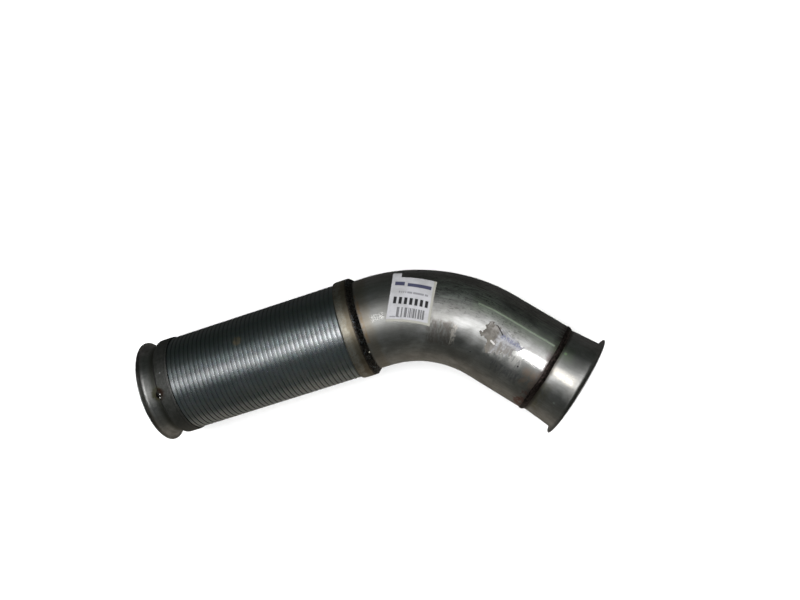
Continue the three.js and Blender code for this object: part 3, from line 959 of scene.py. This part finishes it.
def sheet_on_tube(name, size, corners, keep, lift, thickness, cells=(120, 120), bow=0.0):
    """A thin sheet on the bent tube, with its place on the flat sheet in metres as the sheet attribute.

    corners are its low left, low right, high left and high right (run, degrees) corners, and size its
    width and height. keep(right, up) says which cells are there, and lift(right, up) how far they stand
    off the tube. bow pulls the middle of its left edge in, in millimetres.
    """
    low_left, low_right, high_left, high_right = [Vector(corner) for corner in corners]
    wide, tall = cells
    used, points, straight, sheet = {}, [], [], []

    def vertex(i, j, side):
        key = (i, j, side)
        if key not in used:
            right, up = i / wide, j / tall
            spot = low_left.lerp(low_right, right).lerp(high_left.lerp(high_right, right), up)
            pulled = bow * 4 * up * (1 - up) * (1 - right)
            run, angle = (spot.x + pulled) * MM, spot.y * DEGREE
            radius = TUBE_RADIUS + 0.08 * MM + lift(right, up) + side * thickness
            used[key] = len(points)
            points.append(on_pipe(run, radius, angle))
            straight.append(straightened(run, radius, angle))
            sheet.append((right * size[0], up * size[1], 0))
        return used[key]

    kept = {(i, j) for i in range(wide) for j in range(tall)
            if keep((i + 0.5) / wide, (j + 0.5) / tall)}
    faces = []
    for i, j in sorted(kept):
        square = [(i, j), (i + 1, j), (i + 1, j + 1), (i, j + 1)]
        faces.append([vertex(*corner, 1) for corner in square])
        faces.append([vertex(*corner, 0) for corner in reversed(square)])
        neighbours = [(i, j - 1), (i + 1, j), (i, j + 1), (i - 1, j)]
        for neighbour, start, end in zip(neighbours, square, square[1:] + square[:1]):
            if neighbour not in kept:
                edge = ((start, 0), (end, 0), (end, 1), (start, 1))
                faces.append([vertex(*corner, side) for corner, side in edge])
    piece = mesh_object(name, points, faces, straight)
    attribute = piece.data.attributes.new("sheet", "FLOAT_VECTOR", "POINT")
    attribute.data.foreach_set("vector", np.array(sheet, np.float32).ravel())
    return piece


def paper_label():
    """The white label. A scrap of a second layer stands up over its top left corner."""
    wide, tall, scrap = 58, 66, 0.2
    corners = [(39, -5.5), (97, -13.5), (52, 66), (98.5, 55)]
    top = 56 / tall

    def keep(right, up):
        return up < top or right < scrap and up < 0.99

    def lift(right, up):
        curl = max(0, right - 0.75) * max(0, 0.3 - up) * 4
        return 0.6 * MM * curl + 0.05 * MM * (1 + noise.noise(Vector((right * 4, up * 4, 5.5))))

    size = (wide * MM, tall * MM)
    piece = sheet_on_tube("paper_label_fine", size, corners, keep, lift, 0.2 * MM, bow=4.0)
    finish_piece(piece, "outlet_pipe", "label_paper", LABEL, "paper_label")


def torn_label():
    """Scraps of a second label, with ragged edges."""
    start, end, low, high = 158, 228, -26, 19
    corners = [(start, low), (end, low), (start, high), (end, high)]
    backing = [(161, -3), (165, 4), (164, 9), (168, 15), (173, 13.5), (180, 14), (186, 8), (187, -2),
               (190, -10), (188, -18), (180, -22), (176, -13), (172, -8), (167, -5)]
    paper = [(180, 12.5), (196, 12), (208, 10), (217, 7.5), (213, 1), (209, -2), (208, -12), (204, -8),
             (201, -15), (197, -9), (194, -17), (189, -14), (184, -5)]

    def keep(right, up):
        run, angle = start + (end - start) * right, low + (high - low) * up
        place = Vector((run / 6, angle / 6, 2.2))
        ragged = [noise.noise(place + shift) + 0.6 * noise.noise(place * 2.7 + shift)
                  for shift in (Vector((0, 0, 0)), Vector((0, 0, 9)))]
        spot = Vector((run + 2.6 * ragged[0], angle + 2.6 * ragged[1]))
        return is_inside(spot, backing) or is_inside(spot, paper)

    def lift(right, up):
        return 0.04 * MM * (1 + noise.noise(Vector((right * 9, up * 7, 8.1))))

    size = (70 * MM, 47 * MM)
    piece = sheet_on_tube("torn_label_fine", size, corners, keep, lift, 0.12 * MM, (210, 138))
    finish_piece(piece, "outlet_pipe", "torn_paper", TORN, "torn_label")


def is_inside(spot, outline):
    """Is a spot inside a closed outline of (x, y) points?"""
    crossings = 0
    for (x, y), (next_x, next_y) in zip(outline, outline[1:] + outline[:1]):
        if (y > spot.y) != (next_y > spot.y):
            crossings += spot.x < x + (next_x - x) * (spot.y - y) / (next_y - y)
    return crossings % 2 == 1


inlet_flare()
inlet_collar()
tack_welds()
hose()
hose_end_inlet()
hose_end_outlet()
middle_collar()
middle_weld()
bent_tube()
outlet_weld()
outlet_flare()
paper_label()
torn_label()


# ---------------------------------------------------------------- floor, light and camera

def floor():
    mesh = bpy.data.meshes.new("floor")
    half = 6.0
    corners = [(-half, -half, 0), (half, -half, 0), (half, half, 0), (-half, half, 0)]
    mesh.from_pydata(corners, [], [(0, 1, 2, 3)])
    plane = bpy.data.objects.new("floor", mesh)
    bpy.context.scene.collection.objects.link(plane)
    shader = Shader("floor")
    grain = shader.noise(shader.node("TexCoord").outputs["Object"], 4.0)
    shader.tone = shader.mix(grain, (0.93, 0.93, 0.93), (0.96, 0.96, 0.96))
    shader.rough = 0.9
    mesh.materials.append(shader.finish(0.0, shader.bump(grain, 0.02, MM)))
    plane.visible_glossy = False


def area_light(name, place, target, size, power, glossy=True):
    data = bpy.data.lights.new(name, "AREA")
    data.shape = "RECTANGLE"
    data.size, data.size_y = size
    data.energy = power
    lamp = bpy.data.objects.new(name, data)
    lamp.location = place
    lamp.rotation_euler = (Vector(target) - Vector(place)).to_track_quat("-Z", "Y").to_euler()
    lamp.visible_glossy = glossy
    bpy.context.scene.collection.objects.link(lamp)


def softbox(name, place, size, brightness):
    """An area light aimed at the pipe, given the brightness of its surface."""
    power = math.pi * size[0] * size[1] * brightness
    area_light(name, place, (place[0], place[1] * 0.2, 0.07), size, power)


def world():
    """A dark studio round the object, lighter overhead and below, and a little warm below in front."""
    studio = bpy.data.worlds.new("studio")
    studio.use_nodes = True
    sky = Nodes(studio.node_tree)
    place = sky.node("TexCoord").outputs["Generated"]
    way = sky.node("SeparateXYZ", {"Vector": place}).outputs
    behind = sky.step(way["Y"], -0.4, 0.4)
    horizon = sky.mix(behind, (0.085, 0.087, 0.078), (0.034, 0.040, 0.036))
    below = sky.mix(behind, (0.205, 0.190, 0.165), (0.052, 0.052, 0.050))
    lower = sky.mix(sky.step(way["Z"], -0.45, -0.05), below, horizon)
    colour = sky.mix(sky.step(way["Z"], 0.25, 0.60), lower, (0.076, 0.083, 0.082))
    sky.feed(sky.tree.nodes["Background"].inputs["Color"], colour)
    bpy.context.scene.world = studio


def camera():
    data = bpy.data.cameras.new("camera")
    data.sensor_width = 36
    data.lens = 36
    data.clip_start, data.clip_end = 0.01, 20
    view = Vector((-0.10531, 0.07452, -0.99164))
    up = Vector((0.3051, 0.95152, 0.0391))
    right = view.cross(up).normalized()
    up = right.cross(view).normalized()
    turned = Matrix((right, up, -view)).transposed().to_4x4()
    made = bpy.data.objects.new("camera", data)
    made.matrix_world = Matrix.Translation((0.16769, 0.0064, 1.1117)) @ turned
    bpy.context.scene.collection.objects.link(made)
    bpy.context.scene.camera = made


floor()
world()
softbox("key", (0.27, 0.075, 1.6), (1.25, 0.44), 2.05)
softbox("second", (0.27, 0.68, 1.6), (1.25, 0.33), 0.95)
softbox("left", (-0.85, 0.04, 1.6), (0.9, 0.48), 0.52)
softbox("panel", (-0.1, 0.3, 1.7), (2.4, 2.0), 0.28)
softbox("right", (1.45, 1.0, 1.6), (1.0, 1.0), 0.35)
softbox("flash", (0.255, -0.10, 1.12), (0.10, 0.14), 10)
area_light("room", (0, 0, 2.6), (0, 0, 0), (5, 5), 210, glossy=False)
camera()
bpy.context.scene.view_settings.view_transform = "Standard"
